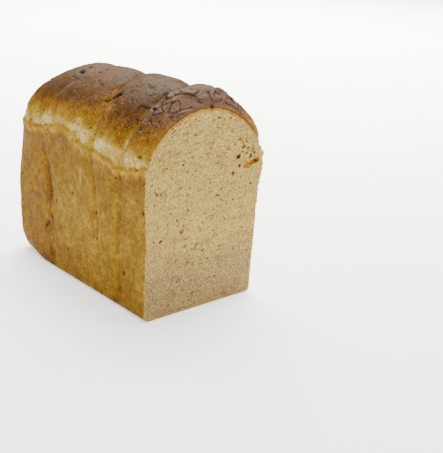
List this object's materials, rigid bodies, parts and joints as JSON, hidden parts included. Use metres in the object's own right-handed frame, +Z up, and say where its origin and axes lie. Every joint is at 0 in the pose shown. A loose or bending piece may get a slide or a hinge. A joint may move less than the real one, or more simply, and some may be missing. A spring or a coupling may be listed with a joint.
{
  "type": "tin loaf",
  "caption": "Large tin loaf of bread with one end cut off, its dark domed crown in lobes, a torn pale band above golden tin-baked sides, and an open crumb face.",
  "frame": {"origin": "centre of the base, under the middle of the bounding box", "axes": "+Z up from the base to the crown, +Y along the loaf away from the cut face, +X across it"},
  "size_m": [0.1258, 0.2074, 0.1834],
  "materials": {
    "crust": "dry matte baked crust",
    "crumb": "soft matte open crumb"
  },
  "bodies": {
    "root": {"loaf": "crust"}
  },
  "joints": []
}
